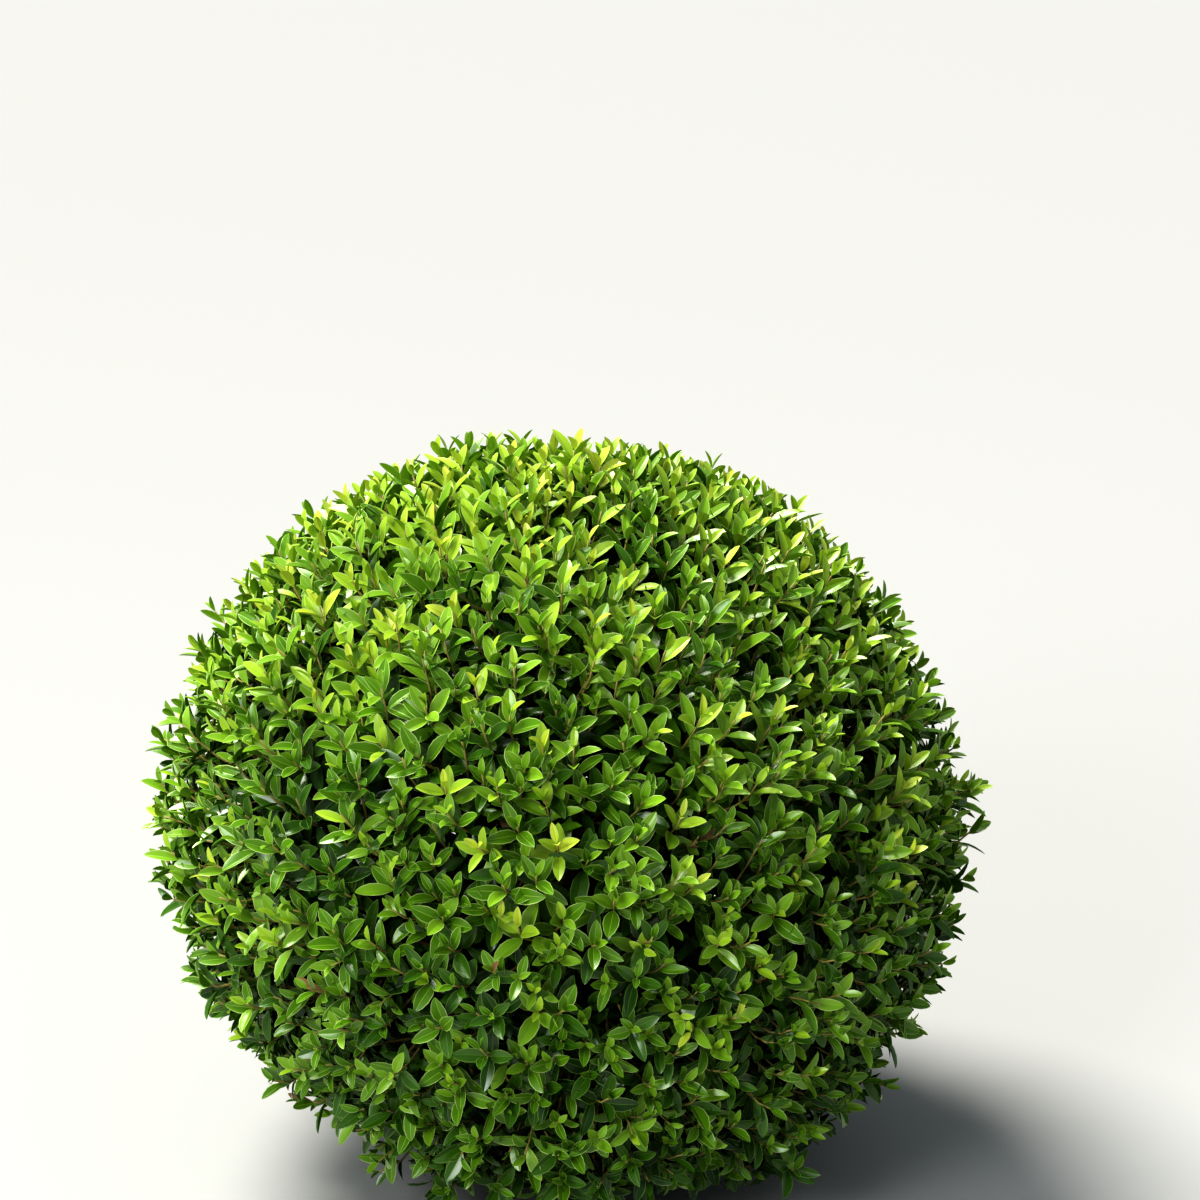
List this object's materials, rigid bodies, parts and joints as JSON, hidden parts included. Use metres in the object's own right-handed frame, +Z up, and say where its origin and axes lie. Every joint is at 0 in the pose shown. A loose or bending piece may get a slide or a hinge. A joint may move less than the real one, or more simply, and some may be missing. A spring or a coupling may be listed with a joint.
{
  "type": "clipped shrubby honeysuckle",
  "caption": "Evergreen shrubby honeysuckle clipped to a dense ball of small glossy paired leaves, on a short forked stem rooted at ground level.",
  "frame": {"origin": "middle of the flat cut under the stem, at ground level", "axes": "+Z up; -Y towards the side that faces the camera in the picture, with +X to its right"},
  "size_m": [0.4869, 0.487, 0.4356],
  "materials": {
    "old_bark": "rough grey-brown bark",
    "young_bark": "thin red-brown bark",
    "fresh_leaves": "glossy fresh yellow-green leaves",
    "deep_leaves": "glossy deep green leaves"
  },
  "bodies": {
    "root": {"stem": "old_bark", "bough_top": "young_bark", "bough_side_1": "young_bark", "bough_side_2": "young_bark", "bough_side_3": "young_bark", "bough_side_4": "young_bark", "bough_side_5": "young_bark", "bough_side_6": "young_bark", "foliage_top": "fresh_leaves", "foliage_side_1": "deep_leaves", "foliage_side_2": "deep_leaves", "foliage_side_3": "deep_leaves", "foliage_side_4": "deep_leaves", "foliage_side_5": "deep_leaves", "foliage_side_6": "deep_leaves"}
  },
  "joints": []
}
